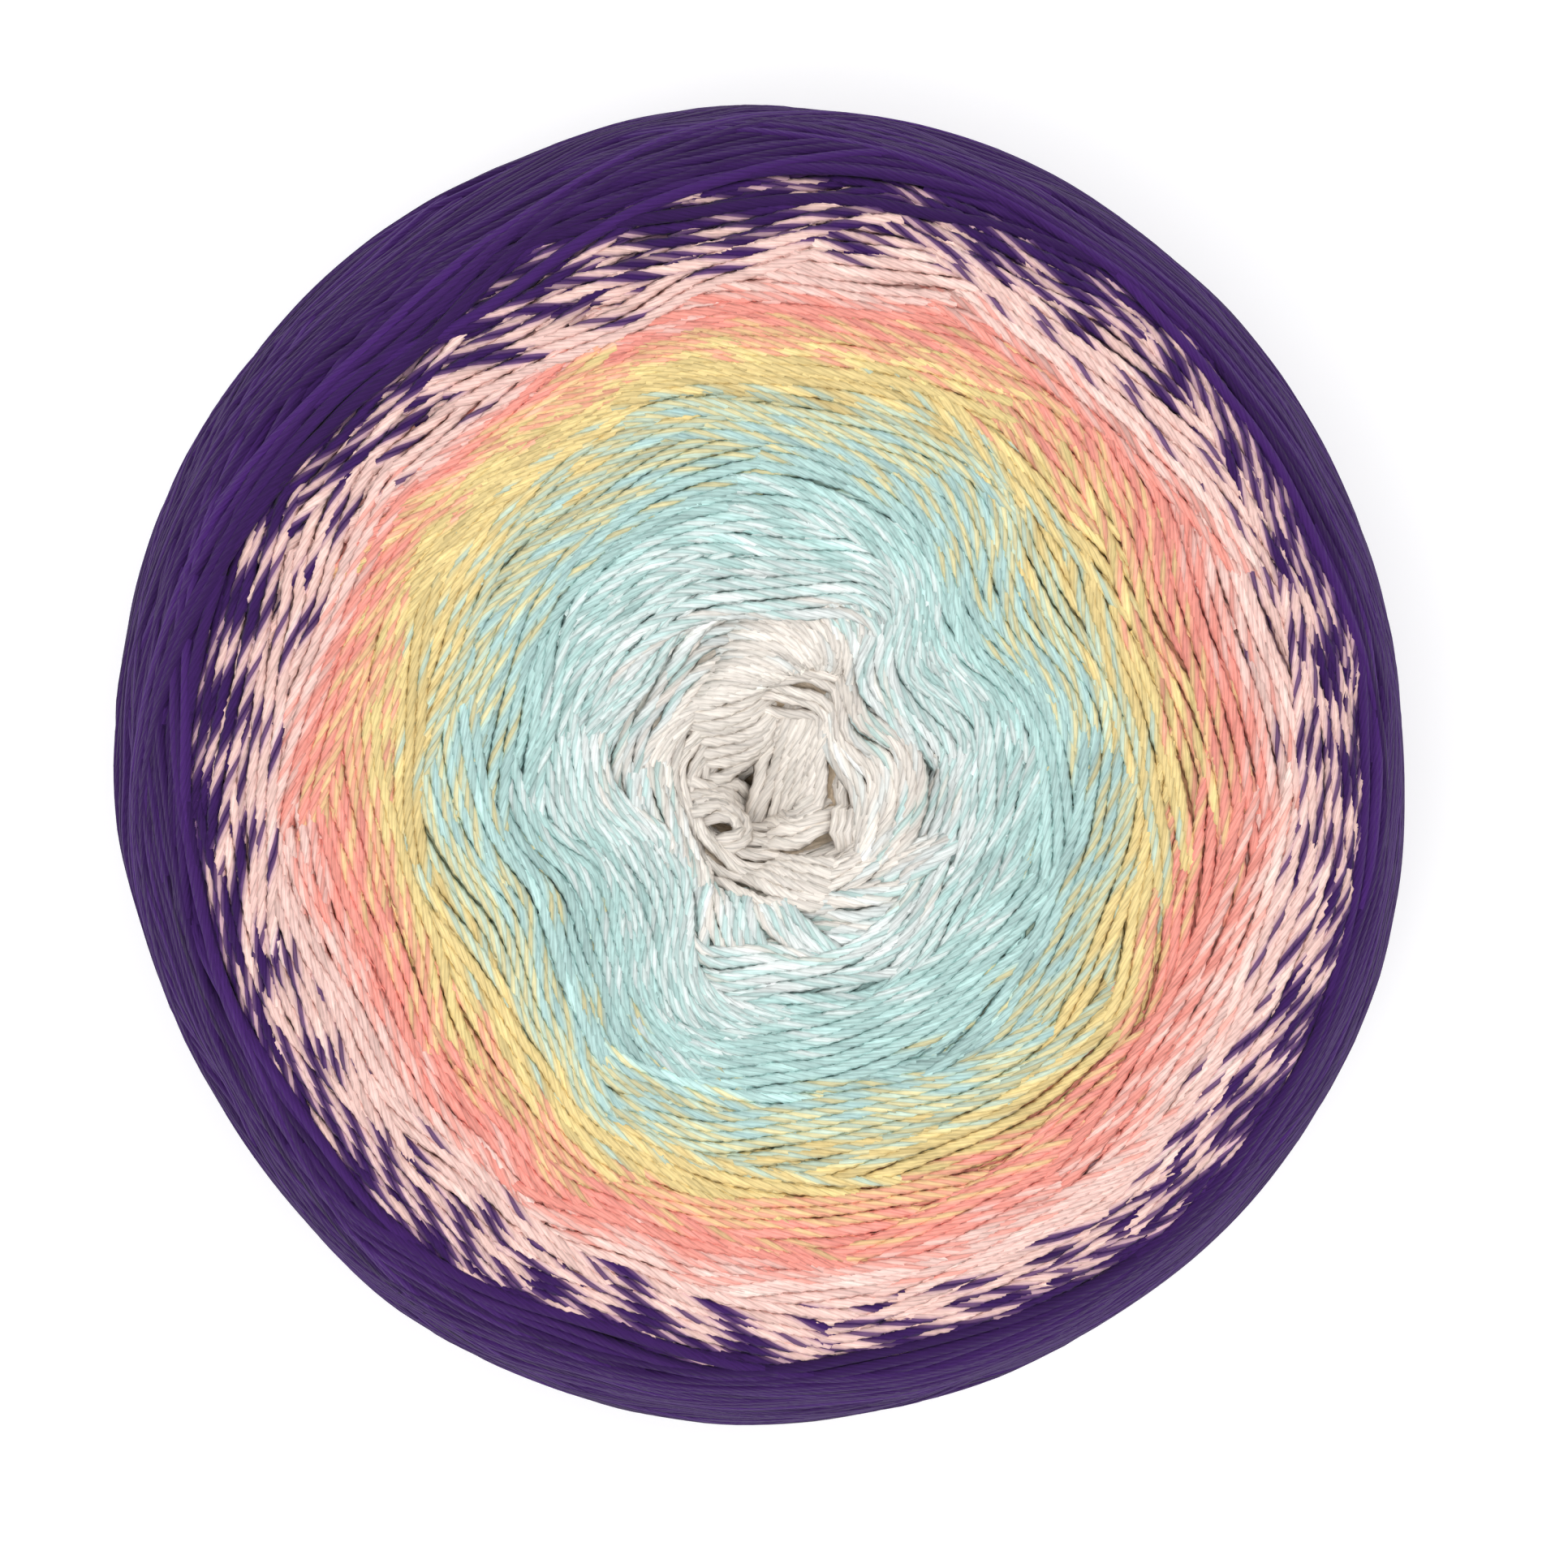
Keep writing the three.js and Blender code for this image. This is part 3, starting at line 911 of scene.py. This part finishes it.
def turn_frame(form, turn, step):
    """Centre points, sideways and outward directions of a turn, at an even step."""
    travel = turn["travel"]
    count = max(FEWEST_RINGS, round(travel[-1] / step))
    wanted = np.linspace(0, travel[-1], count + 1)
    x, y, height = (np.interp(wanted, travel, values) for values in (*turn["line"], turn["height"]))
    points, normals = on_form(form, x, y)
    deeper = hollow(x, y) if turn.get("order") == CIRCLE_ORDER and form["upper"] else 0
    over = pressed_at(form, x, y) * (height - level_at(form, x, y)) - deeper
    centres = points + normals * over[:, None]
    centres[:, 2] = np.maximum(centres[:, 2], LOWEST_CENTRE)
    way = np.gradient(centres, axis=0)
    if turn.get("closed"):
        way[0] = way[-1] = centres[1] - centres[-2]
    way = unit(way)
    sideways = unit(np.cross(normals, way))
    return centres, sideways, np.cross(way, sideways), wanted, (x, y, height)


def corner_colours(dyes):
    """Colours of the four corners of a face of each thread: dyes bleed a little into the threads beside."""
    threads = PALETTE[dyes]
    threads[:, :3] *= 1 + rng.normal(0, THREAD_TINT, (THREADS, 1))
    own = threads * (1 - BLEED)
    before = own + np.roll(threads, 1, axis=0) * BLEED
    after = own + np.roll(threads, -1, axis=0) * BLEED
    return np.stack((before, after, after, before), axis=1)


def ring_points(centres, sideways, outwards, turned, half, sides):
    """The points of a turn's rings, flattened. turned is how far the twist has turned each ring."""
    lobed = sides == LOBED_SIDES
    around = turned[:, None] * lobed + round_turn(sides)
    reach = half * np.where((np.arange(sides) % 2 == 0) & lobed, LOBE_IN, 1.0)
    ring = sideways[:, None, :] * (np.cos(around) * reach * YARN_WIDER)[..., None]
    ring = ring + outwards[:, None, :] * (np.sin(around) * reach)[..., None]
    return (centres[:, None, :] + ring).reshape(-1, 3)


def ring_faces(near, sides):
    """The faces from each ring in near to the next one."""
    side = np.arange(sides)
    after = (side + 1) % sides
    low = near[:, None] * sides
    corner = [low + side, low + after, low + sides + after, low + sides + side]
    return np.stack(corner, axis=2).reshape(-1, 4)


def yarn_places(travel, near, sides):
    """Where the corners of each face lie on the map of the yarn: along it, and across it in plies."""
    side = np.arange(sides)
    places = np.zeros((len(near), sides, 4, 2))
    places[..., 0] = travel[near][:, None, None] + np.array((0, 0, 1, 1)) * (travel[1] - travel[0])
    places[..., 1] = np.stack((side, side + 1, side + 1, side), axis=1) * PLIES / sides
    if sides != LOBED_SIDES:
        places[..., 1] -= places[..., 0] / TWIST_PITCH * PLIES
    return places.reshape(-1, 2)


def turn_mesh(form, pile, turn, step, sides):
    """Points, faces, corner colours and corner places of one turn. Eight sides make the four lobes."""
    centres, sideways, outwards, travel, (x, y, height) = turn_frame(form, turn, step)
    half = turn.get("thick", YARN_THICK) / 2
    twists = travel[-1] / TWIST_PITCH
    if turn.get("closed"):
        twists = round(twists * PLIES) / PLIES
    turned = (travel / travel[-1] * twists + turn.get("phase", 0)) * FULL_TURN
    points = ring_points(centres, sideways, outwards, turned, half, sides)
    seen = widened(shows(pile, x, y, height, across_on_map(form, x, y), half), SEEN_MORE)
    near = np.arange(len(centres) - 1)[seen[:-1] & seen[1:]]
    thread = np.tile(np.arange(sides) * THREADS // sides, len(near))
    colours = corner_colours(np.array(turn["dyes"]))[thread]
    return points, ring_faces(near, sides), colours, yarn_places(travel, near, sides)


# %% Join turns into one piece
FACE_PIECES = {
    "cream_turns": (-1, 2, 1.2),
    "mint_turns": (2, 11, 1.3),
    "yellow_and_coral_turns": (11, 27, 1.3),
    "pink_and_purple_turns": (27, 99, 1.3),
}
FACE_TINT = 0.02
WALL_PIECES = 3
WALL_STEP = 2.0
WALL_TINT = 0.1
UNDER_STEP = 2.6


def cake_piece(name, points, faces, colours, places):
    """Adds one piece of the cake: a mesh, with the colours and the yarn places of its corners."""
    mesh = bpy.data.meshes.new(name)
    mesh.vertices.add(len(points))
    mesh.vertices.foreach_set("co", (points * MM).astype(np.float32).ravel())
    mesh.loops.add(faces.size)
    mesh.loops.foreach_set("vertex_index", faces.astype(np.int32).ravel())
    mesh.polygons.add(len(faces))
    mesh.polygons.foreach_set("loop_start", np.arange(0, faces.size, 4, dtype=np.int32))
    mesh.polygons.foreach_set("use_smooth", np.ones(len(faces), dtype=bool))
    colour = mesh.color_attributes.new("ply_colour", "BYTE_COLOR", "CORNER")
    colour.data.foreach_set("color_srgb", np.clip(colours, 0, 1).astype(np.float32).ravel())
    yarn_map = mesh.uv_layers.new(name="yarn")
    yarn_map.data.foreach_set("uv", places.astype(np.float32).ravel())
    mesh.update(calc_edges=True)
    mesh.validate()
    piece = bpy.data.objects.new(name, mesh)
    bpy.context.scene.collection.objects.link(piece)
    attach(piece, "root")
    print(name, "has", 2 * len(faces), "triangles")
    return piece


def yarn_piece(name, form, pile, turns, step, sides, tint_spread):
    """One piece of many turns, each of them a shade lighter or darker."""
    parts = [turn_mesh(form, pile, turn, step, sides) for turn in turns]
    points, faces, colours, places = zip(*parts)
    starts = np.concatenate(([0], np.cumsum([len(part) for part in points])))
    faces = [part + start for part, start in zip(faces, starts)]
    shade = 1 + rng.normal(0, tint_spread, len(parts))
    tint = np.repeat(shade, [len(part) for part in faces])
    colours = np.concatenate(colours)
    colours[..., :3] *= tint[:, None, None]
    used, faces = np.unique(np.concatenate(faces), return_inverse=True)
    points = np.concatenate(points)[used]
    return cake_piece(name, points, faces.reshape(-1, 4), colours, np.concatenate(places))


yarn_pieces = []
for name, (first, last, step) in FACE_PIECES.items():
    some_turns = [turn for turn in upper_turns if first <= turn["stage"] < last]
    yarn_pieces.append(yarn_piece(name, upper_map, upper_pile, some_turns, step, LOBED_SIDES, FACE_TINT))
for part in range(WALL_PIECES):
    name = f"wall_turns_{part + 1}"
    some_loops = loops_round_wall[part::WALL_PIECES]
    yarn_pieces.append(
        yarn_piece(name, upper_map, upper_pile, some_loops, WALL_STEP, PLAIN_SIDES, WALL_TINT)
    )
yarn_pieces.append(
    yarn_piece("underside_turns", under_map, under_pile, under_turns, UNDER_STEP, LOBED_SIDES, FACE_TINT)
)

# %% [markdown]
# ## The yarn between the turns
# Where two turns part, more yarn shows below, in shadow. One closed skin stands for all of it: it
# follows the pile about one strand below its top, with the mean colour of the yarn at each ring. In
# the cream middle, where the gaps between turns are deepest, its colour is darkened and warmed as
# painted shade. It takes the place of the plain solid.

# %% Make the skin below the turns
SKIN_BEARINGS = 180
SKIN_STEP = 1.5
SKIN_REACH = 104
SKIN_REACH_BELOW = 90
SKIN_DEPTH = 1.0
SKIN_READ = 3
SKIN_UNDER_MEAN = 0.6
SKIN_MAP_OUT = 50
PAINTED_SHADE_IN_CREAM = (0.8, 0.74, 0.66)
PAINTED_SHADE_WITHIN = (6, 22)


def skin_half(form, pile, reach):
    """Points and colours of half of the skin, ring by ring from the middle of a face."""
    out = np.arange(0, reach + 1, SKIN_STEP, dtype=float)
    grid_out, grid_bearing = np.meshgrid(out, round_turn(SKIN_BEARINGS), indexing="ij")
    x = grid_out * np.cos(grid_bearing)
    y = grid_out * np.sin(grid_bearing)
    points, normals = on_form(form, x, y)
    row, column = cell_of(x, y)
    near = range(-SKIN_READ, SKIN_READ + 1)
    around = [pile[row + a, column + b] for a in near for b in near]
    tops = np.mean(around, axis=0) - SKIN_UNDER_MEAN * np.std(around, axis=0)
    depth = SKIN_DEPTH - pressed_at(form, x, y) * (tops - level_at(form, x, y))
    depth = depth + (hollow(x, y) if form["upper"] else 0)
    stages = [stage_at(ring, form["upper"]) for ring in out]
    colours = np.array([np.mean(PALETTE[threads_of(stage, 0)], axis=0) for stage in stages])
    # Painted shade: in the cream middle the skin's colour is darkened and warmed, as yarn far down in the
    # gaps lies in warm shade.
    painted_shade_share = 1 - ease(out[:, None], *PAINTED_SHADE_WITHIN)
    colours[:, :3] *= 1 - painted_shade_share * (1 - np.array(PAINTED_SHADE_IN_CREAM))
    return points - normals * depth[..., None], np.repeat(colours[:, None, :], SKIN_BEARINGS, axis=1)


def skin_piece(name):
    """The closed skin: the upper half joined to the lower half."""
    top, top_colours = skin_half(upper_map, upper_pile, SKIN_REACH)
    low, low_colours = skin_half(under_map, under_pile, SKIN_REACH_BELOW)
    points = np.concatenate((top, low[::-1])).reshape(-1, 3)
    colours = np.concatenate((top_colours, low_colours[::-1])).reshape(-1, 4)
    rows = len(top) + len(low)
    row, column = np.meshgrid(np.arange(rows - 1), np.arange(SKIN_BEARINGS), indexing="ij")
    here = row * SKIN_BEARINGS + column
    after = row * SKIN_BEARINGS + (column + 1) % SKIN_BEARINGS
    corners = (here, here + SKIN_BEARINGS, after + SKIN_BEARINGS, after)
    faces = np.stack(corners, axis=2).reshape(-1, 4)
    round_it = np.tile(round_turn(SKIN_BEARINGS) * SKIN_MAP_OUT, rows)
    along = np.repeat(np.arange(rows) * SKIN_STEP, SKIN_BEARINGS)
    places = np.stack((round_it, along), axis=1)
    return cake_piece(name, points, faces, colours[faces.ravel()], places[faces.ravel()])


skin = skin_piece("yarn_below")
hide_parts("wound_cake")
yarn_pieces.append(skin)

# %% [markdown]
# ## The yarn's material
# The yarn is a soft blend of cotton and acrylic, spun and loosely twisted. It is matt: its fibres
# scatter light, so it has no highlight, only a pale bloom at a flat angle, which the sheen gives.
# Fine fibres run along each thread, and the groove between two threads is darkened in the colour as painted
# shade.

# %% Build the material
FIBRE_WIDE = 0.16
FIBRE_LONG = 2.4
FIBRE_SHADES = {"From Min": 0.3, "From Max": 0.7, "To Min": 0.82, "To Max": 1.14}
PAINTED_GROOVE_SHADES = {"From Min": 0.0, "From Max": 0.15, "To Min": 0.86, "To Max": 1.0}
GROOVE_OVER_FIBRES = 3.0
RELIEF = {"Strength": 0.6, "Distance": 0.15 * MM}


def linear(hex_colour):
    """An sRGB hex colour as linear red, green, blue and alpha."""
    shares = srgb_shares(hex_colour)
    return [share / 12.92 if share <= 0.04045 else ((share + 0.055) / 1.055) ** 2.4 for share in shares] + [1]


def add_node(tree, kind, settings=None, links=None):
    """Adds a node. settings are properties or socket values; links go from a socket to an input."""
    node = tree.nodes.new(kind)
    for name, value in (settings or {}).items():
        if isinstance(name, str) and hasattr(node, name):
            setattr(node, name, value)
        else:
            node.inputs[name].default_value = value
    for name, source in (links or {}).items():
        tree.links.new(source, node.inputs[name])
    return node


def yarn_material(name):
    """Spun yarn: matt, with fibres along the threads and painted shade in the groove between them."""
    material = bpy.data.materials.new(name)
    material.use_nodes = True
    nodes = material.node_tree
    shader = nodes.nodes["Principled BSDF"]
    shader.inputs["Roughness"].default_value = 0.9
    shader.inputs["IOR"].default_value = 1.5
    shader.inputs["Specular IOR Level"].default_value = 0.1
    shader.inputs["Sheen Weight"].default_value = 0.05
    shader.inputs["Sheen Roughness"].default_value = 0.5
    dye = add_node(nodes, "ShaderNodeAttribute", {"attribute_name": "ply_colour"})
    place = add_node(nodes, "ShaderNodeUVMap", {"uv_map": "yarn"}).outputs["UV"]
    fibres = fibre_pattern(nodes, place)
    from_groove = groove_pattern(nodes, place)
    fibre_shade = add_node(nodes, "ShaderNodeMapRange", FIBRE_SHADES, {"Value": fibres})
    # Painted shade: the colour is darkened towards the groove between two threads.
    painted_groove_shade = add_node(nodes, "ShaderNodeMapRange", PAINTED_GROOVE_SHADES, {"Value": from_groove})
    shades = {0: fibre_shade.outputs["Result"], 1: painted_groove_shade.outputs["Result"]}
    shade = add_node(nodes, "ShaderNodeMath", {"operation": "MULTIPLY"}, shades)
    scaled = {0: dye.outputs["Color"], "Scale": shade.outputs["Value"]}
    dyed = add_node(nodes, "ShaderNodeVectorMath", {"operation": "SCALE"}, scaled)
    nodes.links.new(dyed.outputs["Vector"], shader.inputs["Base Color"])
    settings = {"operation": "MULTIPLY_ADD", 1: GROOVE_OVER_FIBRES}
    height = add_node(nodes, "ShaderNodeMath", settings, {0: from_groove, 2: fibres})
    relief = add_node(nodes, "ShaderNodeBump", RELIEF, {"Height": height.outputs["Value"]})
    nodes.links.new(relief.outputs["Normal"], shader.inputs["Normal"])
    return material


def fibre_pattern(nodes, place):
    """Noise drawn out along the yarn, with spots as long and as wide as a tuft of fibres."""
    scale = (1 / FIBRE_LONG, YARN_THICK * math.pi / PLIES / FIBRE_WIDE, 1)
    stretched = add_node(nodes, "ShaderNodeMapping", {"Scale": scale}, {"Vector": place})
    settings = {"Scale": 1.0, "Detail": 2.0, "Roughness": 0.6}
    noise = add_node(nodes, "ShaderNodeTexNoise", settings, {"Vector": stretched.outputs["Vector"]})
    return noise.outputs["Fac"]


def groove_pattern(nodes, place):
    """How far a place is from the nearest groove between two threads, in plies."""
    across = add_node(nodes, "ShaderNodeSeparateXYZ", {}, {"Vector": place})
    settings = {"operation": "PINGPONG", 1: 0.25}
    return add_node(nodes, "ShaderNodeMath", settings, {0: across.outputs["Y"]}).outputs["Value"]


spun_yarn = yarn_material("spun_cotton_blend_yarn")
for piece in yarn_pieces:
    piece.data.materials.append(spun_yarn)
print("Dressed", len(yarn_pieces), "pieces in", spun_yarn.name)

# %% [markdown]
# ## Table and light
# The cake lies on a plain white sheet under soft light from all round, a little stronger from the
# lower left of the picture. A faint glow keeps the sheet as white as it is in the photograph, where
# the light is set for the yarn.

# %% Add the sheet and the lights
FLOOR_HALF = 3.0
FLOOR_CORNERS = ((-1, -1), (1, -1), (1, 1), (-1, 1))
SHEET_GLOW = 0.25
STUDIO_LIGHT = 1.03
floor_mesh = bpy.data.meshes.new("white_sheet")
corners = [(x * FLOOR_HALF, y * FLOOR_HALF, 0) for x, y in FLOOR_CORNERS]
floor_mesh.from_pydata(corners, [], [(0, 1, 2, 3)])
floor = bpy.data.objects.new("white_sheet", floor_mesh)
bpy.context.scene.collection.objects.link(floor)
paper = bpy.data.materials.new("matt_white_paper")
paper.use_nodes = True
paper_shader = paper.node_tree.nodes["Principled BSDF"]
paper_shader.inputs["Base Color"].default_value = linear("f4f4f4")
paper_shader.inputs["Roughness"].default_value = 0.95
paper_shader.inputs["Emission Color"].default_value = linear("ffffff")
paper_shader.inputs["Emission Strength"].default_value = SHEET_GLOW
floor_mesh.materials.append(paper)

world = bpy.data.worlds.new("studio")
world.use_nodes = True
world.node_tree.nodes["Background"].inputs["Color"].default_value = linear("ffffff")
world.node_tree.nodes["Background"].inputs["Strength"].default_value = STUDIO_LIGHT
bpy.context.scene.world = world


def soft_light(name, place, size, power):
    """A square light that faces the cake."""
    data = bpy.data.lights.new(name, "AREA")
    data.size = size
    data.energy = power
    lamp = bpy.data.objects.new(name, data)
    lamp.location = place
    lamp.rotation_euler = (-Vector(place)).to_track_quat("-Z", "Y").to_euler()
    bpy.context.scene.collection.objects.link(lamp)
    return lamp


soft_light("large_window", (-0.7, -0.7, 1.8), 1.0, 8)
soft_light("fill", (0.9, 0.7, 1.5), 1.2, 4)
bpy.context.scene.view_settings.view_transform = "Standard"
print("Lit the table")
